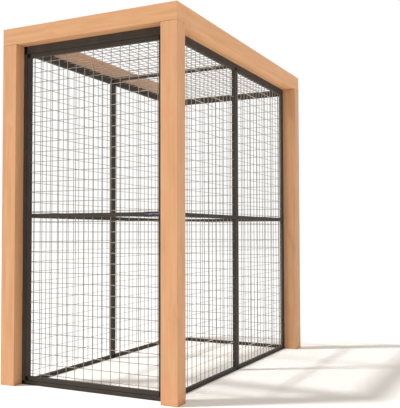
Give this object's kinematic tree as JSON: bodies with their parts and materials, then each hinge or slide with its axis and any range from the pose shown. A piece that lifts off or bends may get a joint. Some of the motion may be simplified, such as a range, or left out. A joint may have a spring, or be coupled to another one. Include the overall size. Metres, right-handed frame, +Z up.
{
  "type": "outdoor aviary",
  "caption": "Walk-in outdoor aviary: four square timber posts and three beams round a cage of steel tube panels with welded wire mesh, a mesh roof and a hinged mesh door with a tower bolt.",
  "frame": {"origin": "on the ground under the middle of the timber frame", "axes": "+Z up, the door faces -Y, +X to the right as the door is faced from outside"},
  "size_m": [1.245, 2.31, 2.26],
  "materials": {
    "timber": "planed, clear oiled",
    "steel_tube": "powder coat, satin",
    "mesh_wire": "powder coat, satin",
    "black_plastic": "moulded, matt",
    "zinc": "zinc plated"
  },
  "bodies": {
    "frame": {"post_front_left": "timber", "post_front_right": "timber", "post_rear_left": "timber", "post_rear_right": "timber", "beam_front": "timber", "beam_left": "timber", "beam_right": "timber", "frame_head": "steel_tube", "frame_sill": "steel_tube", "hinge_jamb": "steel_tube", "latch_jamb": "steel_tube", "left_front_stile": "steel_tube", "left_mid_stiles": "steel_tube", "left_rear_stile": "steel_tube", "left_top_rails": "steel_tube", "left_mid_rails": "steel_tube", "left_bottom_rails": "steel_tube", "left_front_mesh": "mesh_wire", "left_rear_mesh": "mesh_wire", "right_front_stile": "steel_tube", "right_mid_stiles": "steel_tube", "right_rear_stile": "steel_tube", "right_top_rails": "steel_tube", "right_mid_rails": "steel_tube", "right_bottom_rails": "steel_tube", "right_front_mesh": "mesh_wire", "right_rear_mesh": "mesh_wire", "back_left_stile": "steel_tube", "back_right_stile": "steel_tube", "back_top_rail": "steel_tube", "back_mid_rail": "steel_tube", "back_bottom_rail": "steel_tube", "back_mesh": "mesh_wire", "roof_front_rail": "steel_tube", "roof_rear_rail": "steel_tube", "roof_left_rail": "steel_tube", "roof_right_rail": "steel_tube", "roof_mid_bar": "steel_tube", "roof_mesh": "mesh_wire", "corner_plugs": "black_plastic", "hinge_frame_leaves": "steel_tube", "hinge_pins": "zinc", "latch_keeper": "zinc", "beam_screws": "zinc", "frame_screws": "zinc", "panel_bolts": "zinc", "panel_nuts": "zinc", "panel_screws": "zinc"},
    "door": {"leaf_hinge_stile": "steel_tube", "leaf_latch_stile": "steel_tube", "leaf_top_rail": "steel_tube", "leaf_mid_rail": "steel_tube", "leaf_bottom_rail": "steel_tube", "leaf_upper_mesh": "mesh_wire", "leaf_lower_mesh": "mesh_wire", "leaf_corner_plugs": "black_plastic", "hinge_door_leaves": "steel_tube", "latch_plate": "zinc"},
    "bolt": {"latch_bolt": "zinc"}
  },
  "joints": [
    {"name": "door_hinge", "type": "hinge", "parent": "frame", "child": "door", "pos_m": [-0.487, -1.0445, 1.065], "axis": [0, 0, 1], "range_deg": [0, 90]},
    {"name": "bolt_slide", "type": "slide", "parent": "door", "child": "bolt", "axis": [1, 0, 0], "range_m": [0, 0.025]}
  ]
}
